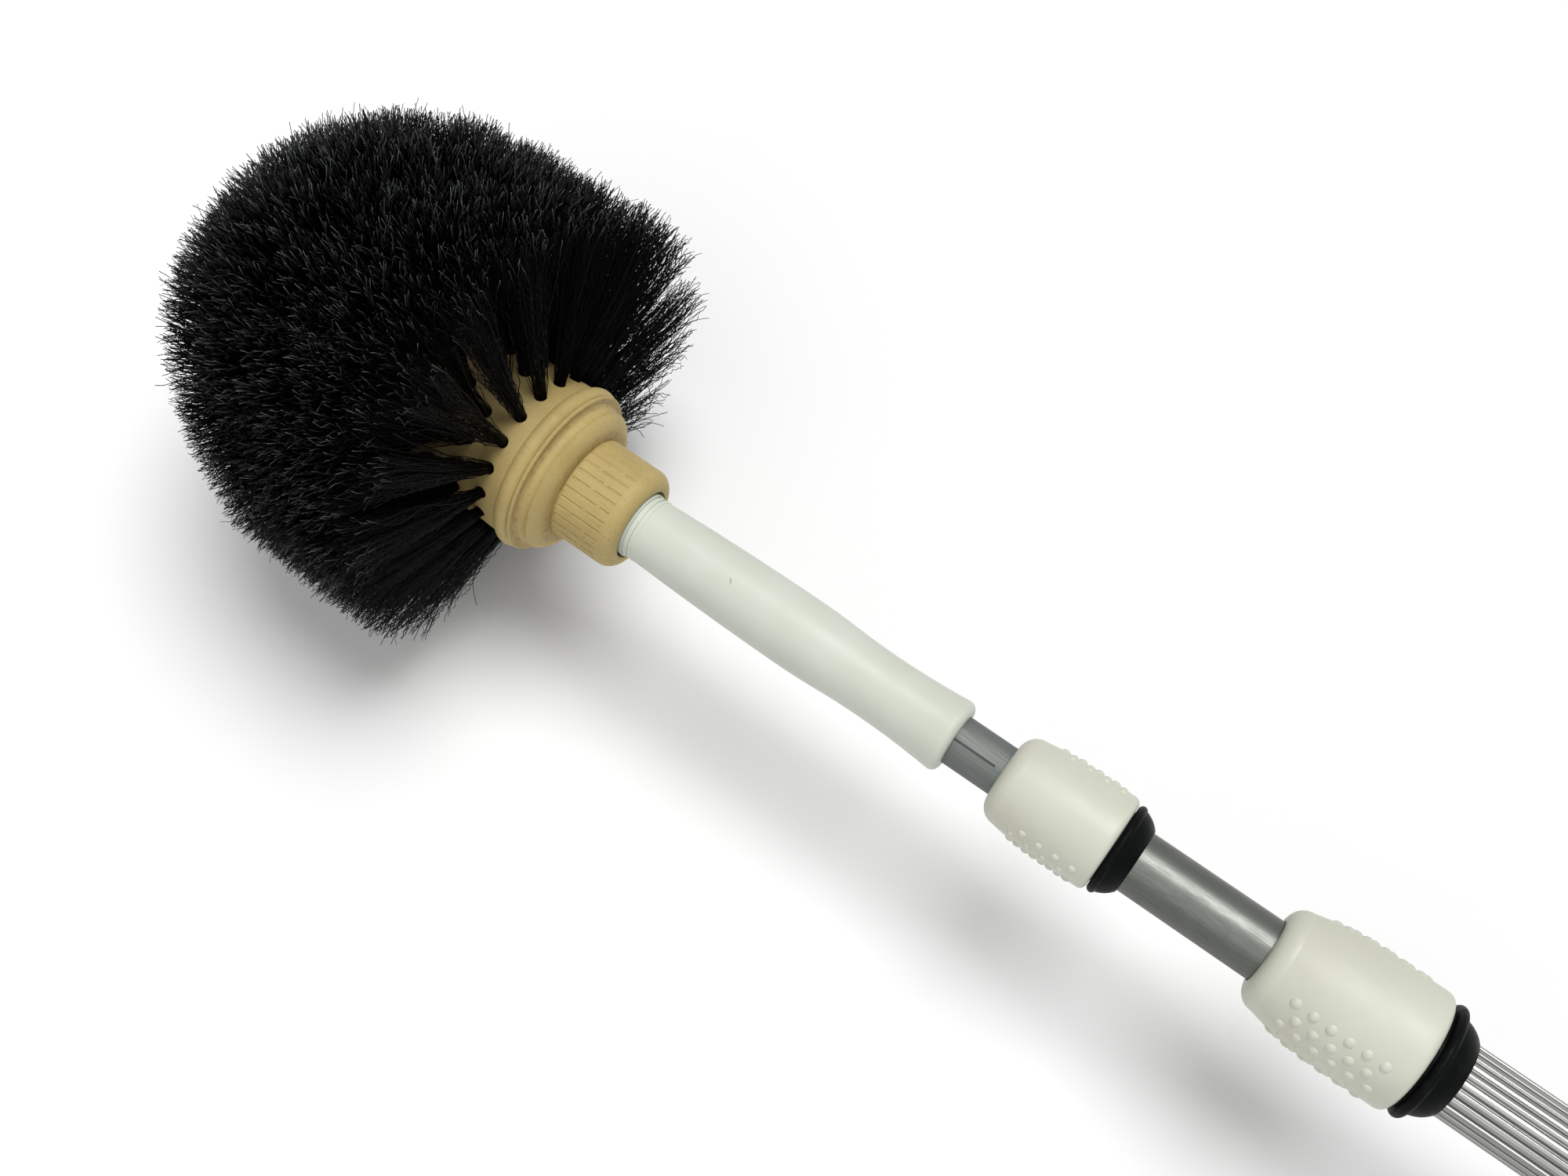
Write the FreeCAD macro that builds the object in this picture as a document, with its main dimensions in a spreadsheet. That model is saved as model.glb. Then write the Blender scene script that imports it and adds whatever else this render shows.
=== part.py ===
# Cobweb brush: a domed bristle head screwed onto a three-section telescopic pole.
# The pole lies along X with the head at -X. The hanging hole of the end cap is the origin, its axis is Z.
# Turned pieces are drawn from their head end (along = 0) towards the butt of the pole.
import FreeCAD, Part
import math
import os
import Sketcher

SIZES = {
    # Tubes
    "inner_tube_radius": 9.0,
    "inner_tube_wall": 0.9,
    "inner_tube_exposed": 18.8,
    "inner_tube_end_gap": 51.8,
    "middle_tube_wall": 0.9,
    "middle_tube_exposed": 48.5,
    "middle_tube_end_gap": 64.5,
    "outer_tube_wall": 0.9,
    "outer_tube_length": 600.0,
    # Long groove of the inner tube, on the side that faces the viewer
    "groove_width": 0.8,
    "groove_depth": 0.4,
    "groove_start": 20.0,
    "groove_stop_gap": 2.8,
    "facing_angle": 25.0,
    # Flutes of the outer tube
    "flute_count": 24,
    "flute_round": 0.93,
    "flute_depth": 0.32,
    # Fits
    "glue_gap": 0.05,
    "slide_gap": 0.12,
    "running_gap": 0.35,
    "thread_gap": 0.5,
    "seat_gap": 0.05,
    # Threads of the twist locks
    "lock_pitch": 3.0,
    "lock_ridge_foot": 1.3,
    "lock_ridge_crest": 0.7,
    "lock_ridge_height": 0.9,
    "lock_body_turns": 4.0,
    "lock_collar_turns": 2.5,
    "ridge_sink": 0.3,
    "clamp_taper": 0.22,
    "sleeve_slot": 1.5,
    # Upper twist lock
    "upper_collar_length": 42.0,
    "upper_collar_wall": 2.95,
    "upper_collar_swell": 24.0,
    "upper_swell_rise": 1.4,
    "upper_mouth_lip": 0.5,
    "upper_mouth_depth": 4.0,
    "upper_end_lip": 0.55,
    "upper_thread_tail": 6.0,
    "upper_sleeve_wall": 1.9,
    "upper_sleeve_edge": 0.8,
    "upper_sleeve_front": 2.6,
    "upper_sleeve_plain": 3.0,
    "upper_barrel_wall": 2.2,
    "upper_seat_land": 3.5,
    "upper_neck_drop": 0.15,
    "upper_neck_width": 0.15,
    "upper_rim_set_in": 1.05,
    "upper_rim_width": 2.8,
    "upper_rim_bulge": 0.9,
    "upper_rim_step": 0.1,
    "upper_skirt_width": 5.5,
    "upper_skirt_edge": 0.6,
    # Lower twist lock
    "lower_collar_length": 54.5,
    "lower_collar_wall": 4.45,
    "lower_collar_swell": 30.0,
    "lower_swell_rise": 3.1,
    "lower_mouth_lip": 0.8,
    "lower_mouth_depth": 5.0,
    "lower_end_lip": 1.45,
    "lower_thread_tail": 13.5,
    "lower_sleeve_wall": 2.2,
    "lower_sleeve_edge": 0.8,
    "lower_sleeve_front": 3.0,
    "lower_sleeve_plain": 4.5,
    "lower_barrel_wall": 2.6,
    "lower_seat_land": 4.25,
    "lower_neck_drop": 1.35,
    "lower_neck_width": 1.05,
    "lower_rim_set_in": 0.75,
    "lower_rim_width": 3.5,
    "lower_rim_bulge": 1.9,
    "lower_rim_step": 1.2,
    "lower_skirt_width": 7.2,
    "lower_skirt_edge": 0.6,
    # Convex side of both skirts
    "skirt_round": 11.0,
    # Raised dots on the collars
    "dot_height": 0.8,
    "dot_sink": 0.8,
    "dot_row_angle": 15.0,
    "upper_dot_radius": 1.55,
    "upper_dot_first": 16.5,
    "upper_dot_last_gap": 6.6,
    "upper_dot_rows": 5,
    "upper_dots_in_row": 4,
    "upper_dots_between": 4,
    "upper_dot_shift": -0.5,
    "upper_dot_angle": 74.1,
    "lower_dot_radius": 1.85,
    "lower_dot_first": 14.0,
    "lower_dot_last_gap": 9.8,
    "lower_dot_rows": 6,
    "lower_dots_in_row": 6,
    "lower_dots_between": 5,
    "lower_dot_shift": 0.5,
    "lower_dot_angle": 48.4,
    # Guide bushes on the hidden tube ends
    "guide_length": 30.0,
    "guide_wall": 0.95,
    "guide_lip": 2.0,
    "guide_gap": 0.1,
    # Cone adapter
    "cone_wall": 3.0,
    "cone_bulge_rise": 1.15,
    "cone_tip_drop": 1.35,
    "cone_flare_rise": 1.3,
    "cone_tip_run": 62.3,
    "cone_waist_run": 35.0,
    "cone_flare_run": 27.7,
    "cone_end_lip": 1.3,
    "cone_socket_depth": 60.0,
    "flange_rise": 0.6,
    "flange_width": 1.8,
    "tip_groove_depth": 0.25,
    "tip_groove_width": 0.6,
    "tip_ring_rise": 0.2,
    "tip_ring_width": 1.3,
    "stub_length": 20.0,
    "stub_step": 2.75,
    "stub_wall": 3.2,
    # Thread between stub and block
    "head_pitch": 5.0,
    "head_ridge_foot": 2.0,
    "head_ridge_crest": 1.2,
    "head_ridge_height": 1.1,
    "head_thread_start": 2.5,
    "head_stub_runout": 2.5,
    "head_block_runout": 5.0,
    # Seat washer
    "washer_thickness": 1.0,
    "washer_play": 0.8,
    "washer_edge_gap": 0.4,
    # Brush block
    "dome_base_radius": 30.4,
    "dome_draft": 1.4,
    "dome_length": 91.6,
    "bead_width": 5.7,
    "bead_foot_rise": 0.6,
    "bead_height": 1.5,
    "lip_width": 1.6,
    "lip_height": 0.6,
    "lip_step": 1.9,
    "cove_run": 4.5,
    "cove_drop": 1.2,
    "cove_round": 3.2,
    "shoulder_run": 4.0,
    "shoulder_round": 9.0,
    "neck_wall": 5.8,
    "neck_length": 24.7,
    "neck_mouth_face": 0.8,
    "counterbore_gap": 1.15,
    "counterbore_depth": 2.2,
    "stub_end_gap": 3.3,
    # Grain dashes along the neck of the block
    "grain_count": 32,
    "grain_round": 0.5,
    "grain_depth": 0.3,
    "grain_lead": 0.8,
    "grain_break": 1.6,
    "grain_tail": 5.4,
    # Tufts
    "tuft_hole_radius": 2.25,
    "tuft_hole_depth": 11.0,
    "tuft_gap": 0.08,
    "tuft_length": 59.0,
    "tuft_lean": 12.0,
    "tuft_first_row": 7.0,
    "tuft_tip_gap": 2.0,
    "tuft_crown": 3.0,
    "tuft_stem": 1.0,
    "staple_gap": 0.55,
    "staple_width": 1.6,
    "staple_thickness": 0.5,
    # End cap
    "cap_wall": 1.6,
    "cap_socket_depth": 32.0,
    "cap_floor": 4.0,
    "cap_shoulder_run": 9.0,
    "eye_step": 4.65,
    "eye_reach": 13.0,
    "eye_thickness": 9.0,
    "hang_hole_radius": 3.5,
}

# Tufts in each ring, from the ring next to the bead to the single tuft at the tip of the dome
TUFTS_IN_ROW = [18, 18, 18, 18, 18, 18, 15, 11, 6, 1]
# Where the grain lines are broken, as a share of their run, one after another round the neck
GRAIN_BREAKS = [0.36, 0.62, 0.46, 0.74, 0.54, 0.3, 0.68]
DOT_PANELS = 2
TIP_RINGS = 2
FULL_TURN = 360.0
CAP_TOP = 90.0

X_AXIS = FreeCAD.Vector(1, 0, 0)
Z_AXIS = FreeCAD.Vector(0, 0, 1)


class Length:
    """A size that knows its number and the sheet formula that gives it."""

    def __init__(self, number, formula):
        self.number = number
        self.formula = formula

    def joined(self, sign, other, number):
        return Length(number, f"({self.formula} {sign} {as_length(other).formula})")

    def __add__(self, other):
        return self.joined("+", other, self.number + as_length(other).number)

    def __sub__(self, other):
        return self.joined("-", other, self.number - as_length(other).number)

    def __mul__(self, other):
        return self.joined("*", other, self.number * as_length(other).number)

    def __truediv__(self, other):
        return self.joined("/", other, self.number / as_length(other).number)

    def __neg__(self):
        return Length(-self.number, f"(-{self.formula})")


def as_length(value):
    """A plain number as a Length, or the Length itself."""
    if isinstance(value, Length):
        return value
    return Length(float(value), repr(float(value)))


ZERO = as_length(0)


def size(name):
    """A driving dimension of the sheet."""
    return Length(float(SIZES[name]), f"sizes.{name}")


def start_document():
    """A new document with the driving dimensions in its sheet."""
    document = FreeCAD.newDocument("cobweb_brush")
    sheet = document.addObject("Spreadsheet::Sheet", "sizes")
    for name, number in SIZES.items():
        add_row(sheet, name, str(number))
    document.recompute()
    return document


def add_row(sheet, name, content):
    """One more named cell at the foot of the sheet."""
    row = len(sheet.getUsedCells()) // 2 + 1
    sheet.set(f"A{row}", name)
    sheet.set(f"B{row}", content)
    sheet.setAlias(f"B{row}", name)


doc = start_document()


def derived(name, length):
    """A size that follows from others, kept on the sheet under its own name."""
    add_row(doc.sizes, name, "=" + length.formula.replace("sizes.", ""))
    return Length(length.number, f"sizes.{name}")


def bind(item, name, length):
    """Sets a property of an object by a formula on the sheet."""
    item.setExpression(name, length.formula)


def origin_feature(body, role):
    """A plane or axis of a body's own origin."""
    for feature in body.Origin.OriginFeatures:
        if feature.Role == role:
            return feature
    raise ValueError(role)


def new_body(label, along=ZERO):
    """An empty body with its head end at that place on the pole's axis."""
    body = doc.addObject("PartDesign::Body", label)
    body.Label = label
    bind(body, "Placement.Base.x", along)
    return body


def new_sketch(body, name, role="XY_Plane"):
    """An empty sketch on one of the body's origin planes."""
    sketch = body.newObject("Sketcher::SketchObject", name)
    sketch.AttachmentSupport = [(origin_feature(body, role), "")]
    sketch.MapMode = "FlatFace"
    return sketch


def tangent_arc(run, rise):
    """Radius of the arc that starts level and rises that much over that run."""
    return (run * run + rise * rise) / (rise * 2)


def stretch(start, finish, bend):
    """The line, or the arc of a signed radius, from one corner of an outline to the next."""
    first = FreeCAD.Vector(start[0].number, start[1].number, 0)
    last = FreeCAD.Vector(finish[0].number, finish[1].number, 0)
    if bend is None:
        return Part.LineSegment(first, last)
    radius, side = bend
    half = (last - first) * 0.5
    normal = FreeCAD.Vector(-half.y, half.x, 0).normalize()
    sagitta = radius.number - math.sqrt(max(radius.number**2 - half.Length**2, 0.0))
    return Part.Arc(first, first + half + normal * (side * sagitta), last)


def pin_corner(sketch, index, end, corner):
    """Holds a corner of an outline at its place, by formulas."""
    for kind, axis, length in (("DistanceX", -2, corner[0]), ("DistanceY", -1, corner[1])):
        if length.number == 0:
            sketch.addConstraint(Sketcher.Constraint("PointOnObject", index, end, axis))
            continue
        number = sketch.addConstraint(Sketcher.Constraint(kind, -1, 1, index, end, length.number))
        bind(sketch, f"Constraints[{number}]", length)


def draw(sketch, outline):
    """Draws a closed outline of (along, radius) corners; a third item bends the stretch after it."""
    corners = [(as_length(corner[0]), as_length(corner[1])) for corner in outline]
    bends = [corner[2] if len(corner) > 2 else None for corner in outline]
    count = len(corners)
    ends = []
    for index in range(count):
        sketch.addGeometry(stretch(corners[index], corners[(index + 1) % count], bends[index]))
        start = FreeCAD.Vector(corners[index][0].number, corners[index][1].number, 0)
        first, last = sketch.getPoint(index, 1), sketch.getPoint(index, 2)
        follows = first.distanceToPoint(start) < last.distanceToPoint(start)
        ends.append((1, 2) if follows else (2, 1))
    for index in range(count):
        after = (index + 1) % count
        meeting = Sketcher.Constraint("Coincident", index, ends[index][1], after, ends[after][0])
        sketch.addConstraint(meeting)
    for index in range(count):
        pin_corner(sketch, index, ends[index][0], corners[index])
        if bends[index] is not None:
            radius = bends[index][0]
            number = sketch.addConstraint(Sketcher.Constraint("Radius", index, radius.number))
            bind(sketch, f"Constraints[{number}]", radius)


def turned(label, outline, along):
    """A body turned about the pole's axis from its outline."""
    body = new_body(label, along)
    sketch = new_sketch(body, f"{label}_outline")
    draw(sketch, outline)
    turn = body.newObject("PartDesign::Revolution", f"{label}_turn")
    turn.Profile = sketch
    turn.ReferenceAxis = (sketch, ["H_Axis"])
    turn.Angle = FULL_TURN
    doc.recompute()
    return body


def tube_outline(inner, outer, length):
    return [(0, inner), (length, inner), (length, outer), (0, outer)]


def add_ridge(body, kind, start, foot_radius, side, turns):
    """A helical thread ridge on a wall of that radius; side 1 stands outwards, -1 inwards."""
    half_foot = size(f"{kind}_ridge_foot") / 2
    half_crest = size(f"{kind}_ridge_crest") / 2
    height = size(f"{kind}_ridge_height") * side
    sunk = foot_radius - size("ridge_sink") * side
    crest = foot_radius + height
    sketch = new_sketch(body, f"{body.Label}_ridge")
    draw(sketch, [
        (start - half_foot, sunk),
        (start + half_foot, sunk),
        (start + half_crest, crest),
        (start - half_crest, crest),
    ])
    ridge = body.newObject("PartDesign::AdditiveHelix", f"{body.Label}_thread")
    ridge.Profile = sketch
    ridge.ReferenceAxis = (sketch, ["H_Axis"])
    ridge.Mode = "pitch-turns-angle"
    bind(ridge, "Pitch", size(f"{kind}_pitch"))
    bind(ridge, "Turns", turns)
    doc.recompute()


def cut_box(body, name, corner, sides):
    """Cuts a box out of a body, from its lowest corner and its side lengths."""
    before = body.Shape.Volume
    box = body.newObject("PartDesign::SubtractiveBox", name)
    for side, length in zip(("Length", "Width", "Height"), sides):
        bind(box, side, as_length(length))
    for axis, length in zip("xyz", corner):
        bind(box, f"Placement.Base.{axis}", as_length(length))
    doc.recompute()
    require_cut(body, before)


def require_cut(body, before):
    """Stops the build where a cut took nothing away."""
    if body.Shape.Volume > before - 1e-3:
        raise ValueError(f"a cut in {body.Label} takes nothing away")


def around(radius, tube):
    """Outside radius of the tube that slides over one of that radius, with a guide bush between them."""
    bush = size("glue_gap") + size("guide_wall") + size("guide_gap")
    return derived(f"{tube}_tube_radius", radius + bush + size(f"{tube}_tube_wall"))


INNER_RADIUS = size("inner_tube_radius")
MIDDLE_RADIUS = around(INNER_RADIUS, "middle")
OUTER_RADIUS = around(MIDDLE_RADIUS, "outer")


class LockSizes:
    """Sizes of one twist lock that follow from its tubes, walls and clearances."""

    def __init__(self, lock, slim, wide):
        self.lock = lock
        self.slim = slim
        self.add_radii(wide)
        self.add_places()

    def of(self, name):
        return size(f"{self.lock}_{name}")

    def derived(self, name, length):
        return derived(f"{self.lock}_{name}", length)

    def add_radii(self, wide):
        gap = size("running_gap")
        self.bore = self.derived("bore", self.slim + gap)
        self.sleeve_bore = self.derived("sleeve_bore", self.slim + size("slide_gap"))
        self.sleeve_radius = self.derived("sleeve_radius", self.sleeve_bore + self.of("sleeve_wall"))
        self.sleeve_front_radius = self.sleeve_radius - self.of("sleeve_front") * size("clamp_taper")
        self.seat = self.derived("seat", self.sleeve_radius + gap)
        self.socket = self.derived("socket", wide + size("glue_gap"))
        self.barrel = self.derived("barrel", self.socket + self.of("barrel_wall"))
        ridge_top = self.barrel + size("lock_ridge_height")
        self.nut_bore = self.derived("nut_bore", ridge_top + size("thread_gap"))
        self.collar_radius = self.derived("collar_radius", self.nut_bore + self.of("collar_wall"))
        self.mouth_face = self.derived("mouth_face", self.bore + self.of("mouth_lip"))
        self.mouth_round = self.derived(
            "mouth_round", self.collar_radius - self.mouth_face - self.of("swell_rise"))
        self.end_round = self.of("collar_wall") - self.of("end_lip")
        rim_top = self.collar_radius - self.of("rim_set_in")
        self.rim_foot = self.derived("rim_foot", rim_top - self.of("rim_bulge"))

    def add_places(self):
        gap = size("running_gap")
        taper = size("clamp_taper")
        self.sleeve_at = self.derived("sleeve_at", self.of("mouth_depth") + gap)
        self.plain_at = self.derived("plain_at", self.sleeve_at + self.of("sleeve_front"))
        self.rear_at = self.derived("rear_at", self.plain_at + self.of("sleeve_plain"))
        sleeve_rear = (self.of("sleeve_wall") - self.of("sleeve_edge")) / taper
        self.sleeve_end = self.derived("sleeve_end", self.rear_at + sleeve_rear)
        self.body_at = self.derived("body_at", self.rear_at + gap)
        self.nut_shoulder = self.derived("nut_shoulder", self.body_at - gap * 2)
        self.seat_end = self.derived("seat_end", self.body_at + (self.seat - self.bore) / taper)
        self.shoulder = self.derived("shoulder", self.seat_end + self.of("seat_land"))
        thread_run = size("lock_pitch") * size("lock_body_turns")
        self.thread_start = self.derived(
            "thread_start", self.of("collar_length") - self.of("thread_tail") - thread_run)
        self.neck_at = self.derived("neck_at", self.of("collar_length") + gap)
        self.rim_at = self.derived("rim_at", self.neck_at + self.of("neck_width"))
        self.skirt_at = self.derived("skirt_at", self.rim_at + self.of("rim_width"))
        self.length = self.derived("length", self.skirt_at + self.of("skirt_width"))


UPPER_LOCK = LockSizes("upper", INNER_RADIUS, MIDDLE_RADIUS)
LOWER_LOCK = LockSizes("lower", MIDDLE_RADIUS, OUTER_RADIUS)

# Radii of the cone adapter, from the tube in its socket to the threaded stub
CONE_BORE = derived("cone_bore", INNER_RADIUS + size("glue_gap"))
CONE_WAIST = derived("cone_waist", CONE_BORE + size("cone_wall"))
CONE_BULGE = derived("cone_bulge", CONE_WAIST + size("cone_bulge_rise"))
CONE_TIP = derived("cone_tip", CONE_BULGE - size("cone_tip_drop"))
CONE_MOUTH = derived("cone_mouth", CONE_WAIST + size("cone_flare_rise"))
CONE_END_ROUND = derived("cone_end_round", CONE_MOUTH - CONE_BORE - size("cone_end_lip"))
FLANGE_RADIUS = derived("flange_radius", CONE_TIP + size("flange_rise"))
STUB_RADIUS = derived("stub_radius", FLANGE_RADIUS - size("stub_step"))
CORE_RADIUS = derived("core_radius", STUB_RADIUS - size("stub_wall"))
STUB_CREST = derived("stub_crest", STUB_RADIUS + size("head_ridge_height"))

# Radii of the block, round the stub and its flange and up to the dome
SOCKET_RADIUS = derived("socket_radius", STUB_CREST + size("thread_gap"))
COUNTERBORE_RADIUS = derived("counterbore_radius", FLANGE_RADIUS + size("counterbore_gap"))
NECK_RADIUS = derived("neck_radius", COUNTERBORE_RADIUS + size("neck_wall"))
BEAD_FOOT = derived("bead_foot", size("dome_base_radius") + size("bead_foot_rise"))
COVE_RADIUS = derived("cove_radius", BEAD_FOOT - size("lip_step"))
SHOULDER_RADIUS = derived("shoulder_radius", COVE_RADIUS - size("cove_drop"))
DOME_TIP_RADIUS = derived("dome_tip_radius", size("dome_base_radius") - size("dome_draft"))

# Places along the pole, from the hanging hole towards the head
EYE_OFFSET = derived("eye_offset", size("cap_floor") + size("cap_shoulder_run") + size("eye_reach"))
CAP_SEAT = derived("cap_seat", -EYE_OFFSET)
OUTER_TUBE_START = derived("outer_tube_start", CAP_SEAT - size("outer_tube_length"))
LOWER_LOCK_START = derived("lower_lock_start", OUTER_TUBE_START - LOWER_LOCK.shoulder)
UPPER_LOCK_END = LOWER_LOCK_START - size("middle_tube_exposed")
UPPER_LOCK_START = derived("upper_lock_start", UPPER_LOCK_END - UPPER_LOCK.length)
MIDDLE_TUBE_START = derived("middle_tube_start", UPPER_LOCK_START + UPPER_LOCK.shoulder)
MIDDLE_TUBE_END = derived("middle_tube_end", CAP_SEAT - size("middle_tube_end_gap"))
CONE_END = derived("cone_end", UPPER_LOCK_START - size("inner_tube_exposed"))
INNER_TUBE_START = derived("inner_tube_start", CONE_END - size("cone_socket_depth"))
INNER_TUBE_END = derived("inner_tube_end", MIDDLE_TUBE_END - size("inner_tube_end_gap"))

# Lengths along the cone adapter, from the end of its stub
TIP_GROOVE_AT = derived("tip_groove_at", size("stub_length") + size("flange_width"))
TIP_RING_PITCH = derived("tip_ring_pitch", size("tip_groove_width") + size("tip_ring_width"))
CONE_TIP_AT = derived("cone_tip_at", TIP_GROOVE_AT + TIP_RING_PITCH * TIP_RINGS)
CONE_BULGE_AT = derived("cone_bulge_at", CONE_TIP_AT + size("cone_tip_run"))
CONE_WAIST_AT = derived("cone_waist_at", CONE_BULGE_AT + size("cone_waist_run"))
CONE_FLARE_AT = derived("cone_flare_at", CONE_WAIST_AT + size("cone_flare_run"))
CONE_LENGTH = derived("cone_length", CONE_FLARE_AT + CONE_END_ROUND)
CONE_START = derived("cone_start", CONE_END - CONE_LENGTH)

# The head sits on the flange with the washer between them
WASHER_END = CONE_START + size("stub_length") - size("seat_gap")
WASHER_START = derived("washer_start", WASHER_END - size("washer_thickness"))
BLOCK_FLOOR = derived("block_floor", WASHER_START - size("seat_gap"))

# Lengths along the block, from the tip of its dome
BEAD_END = derived("bead_end", size("dome_length") + size("bead_width"))
LIP_END = derived("lip_end", BEAD_END + size("lip_width"))
SHOULDER_AT = derived("shoulder_at", LIP_END + size("cove_run"))
NECK_AT = derived("neck_at", SHOULDER_AT + size("shoulder_run"))
BLOCK_LENGTH = derived("block_length", NECK_AT + size("neck_length"))
COUNTERBORE_AT = derived("counterbore_at", BLOCK_LENGTH - size("counterbore_depth"))
BLOCK_START = derived("block_start", BLOCK_FLOOR - COUNTERBORE_AT)
SOCKET_AT = derived("socket_at", CONE_START - size("stub_end_gap") - BLOCK_START)
doc.recompute()


def make_inner_tube():
    length = INNER_TUBE_END - INNER_TUBE_START
    outline = tube_outline(INNER_RADIUS - size("inner_tube_wall"), INNER_RADIUS, length)
    tube = turned("inner_tube", outline, INNER_TUBE_START)
    start = size("groove_start")
    run = size("cone_socket_depth") + size("inner_tube_exposed") - size("groove_stop_gap") - start
    depth = size("groove_depth")
    width = size("groove_width")
    cut_box(tube, "inner_tube_groove", (start, -width / 2, INNER_RADIUS - depth), (run, width, depth * 2))
    tube.Placement.Rotation = FreeCAD.Rotation(X_AXIS, SIZES["facing_angle"])
    bind(tube, "Placement.Rotation.Angle", size("facing_angle"))
    return tube


def make_middle_tube():
    length = MIDDLE_TUBE_END - MIDDLE_TUBE_START
    bore = MIDDLE_RADIUS - size("middle_tube_wall")
    return turned("middle_tube", tube_outline(bore, MIDDLE_RADIUS, length), MIDDLE_TUBE_START)


def make_outer_tube():
    """The outer tube, with round-bottomed flutes along its whole length."""
    length = size("outer_tube_length")
    outline = tube_outline(OUTER_RADIUS - size("outer_tube_wall"), OUTER_RADIUS, length)
    body = turned("outer_tube", outline, OUTER_TUBE_START)
    before = body.Shape.Volume
    round_radius = size("flute_round")
    centre = OUTER_RADIUS + round_radius - size("flute_depth")
    sketch = new_sketch(body, "flute_outline", "YZ_Plane")
    middle = FreeCAD.Vector(centre.number, 0, 0)
    sketch.addGeometry(Part.Circle(middle, Z_AXIS, round_radius.number))
    sketch.addConstraint(Sketcher.Constraint("PointOnObject", 0, 3, -1))
    for kind, places, value in (("DistanceX", (-1, 1, 0, 3), centre), ("Radius", (0,), round_radius)):
        number = sketch.addConstraint(Sketcher.Constraint(kind, *places, value.number))
        bind(sketch, f"Constraints[{number}]", value)
    flute = body.newObject("PartDesign::Pocket", "flute")
    flute.Profile = sketch
    flute.Reversed = True
    bind(flute, "Length", length)
    doc.recompute()
    pattern = body.newObject("PartDesign::PolarPattern", "flutes")
    pattern.Originals = [flute]
    pattern.Axis = (origin_feature(body, "X_Axis"), [""])
    pattern.Angle = FULL_TURN
    bind(pattern, "Occurrences", size("flute_count"))
    body.Tip = pattern
    doc.recompute()
    require_cut(body, before)
    return body


def make_guide(tube, tube_radius, tube_end):
    """A plastic bush with a lip, on the hidden end of a tube that slides in a wider one."""
    bore = tube_radius + size("glue_gap")
    mouth = tube_radius - size(f"{tube}_tube_wall")
    outer = bore + size("guide_wall")
    length = size("guide_length")
    seat = length - size("guide_lip")
    outline = [(0, bore), (seat, bore), (seat, mouth), (length, mouth), (length, outer), (0, outer)]
    return turned(f"{tube}_guide", outline, tube_end - seat)


def make_sleeve(lock, start):
    """The split ring that the collar wedges onto the sliding tube."""
    length = lock.sleeve_end - lock.sleeve_at
    outline = [
        (0, lock.sleeve_bore),
        (length, lock.sleeve_bore),
        (length, lock.sleeve_bore + lock.of("sleeve_edge")),
        (lock.rear_at - lock.sleeve_at, lock.sleeve_radius),
        (lock.of("sleeve_front"), lock.sleeve_radius),
        (0, lock.sleeve_front_radius),
    ]
    label = f"{lock.lock}_sleeve"
    sleeve = turned(label, outline, start + lock.sleeve_at)
    slot = size("sleeve_slot")
    cut_box(sleeve, f"{label}_slot", (0, -slot / 2, lock.slim), (length, slot, lock.of("sleeve_wall") * 2))
    return sleeve


def make_lock_body(lock, start):
    """The black body: threaded barrel, clamp seat, tube socket, rim and skirt."""
    rim_arc = tangent_arc(lock.of("rim_width") / 2, lock.of("rim_bulge"))
    neck = lock.rim_foot - lock.of("neck_drop")
    outline = [
        (lock.body_at, lock.seat),
        (lock.seat_end, lock.bore),
        (lock.shoulder, lock.bore),
        (lock.shoulder, lock.socket),
        (lock.length, lock.socket),
        (lock.length, lock.socket + lock.of("skirt_edge"), (size("skirt_round"), -1)),
        (lock.skirt_at, lock.rim_foot - lock.of("rim_step")),
        (lock.skirt_at, lock.rim_foot, (rim_arc, -1)),
        (lock.rim_at, lock.rim_foot),
        (lock.rim_at, neck),
        (lock.neck_at, neck),
        (lock.neck_at, lock.barrel),
        (lock.body_at, lock.barrel),
    ]
    outline = [(along - lock.body_at, *rest) for along, *rest in outline]
    body = turned(f"{lock.lock}_lock_body", outline, start + lock.body_at)
    add_ridge(body, "lock", lock.thread_start - lock.body_at, lock.barrel, 1, size("lock_body_turns"))
    return body


def collar_radius_at(lock, along):
    """Outside radius of a collar on its long swell and on the plain stretch after it."""
    swell_at = SIZES[f"{lock.lock}_collar_swell"]
    radius = lock.collar_radius.number
    if along >= swell_at:
        return radius
    arc = collar_swell(lock).number
    return radius - arc + math.sqrt(arc**2 - (swell_at - along) ** 2)


def collar_swell(lock):
    """Radius of the long arc between the rounded mouth and the widest part."""
    return tangent_arc(lock.of("collar_swell") - lock.mouth_round, lock.of("swell_rise"))


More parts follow.
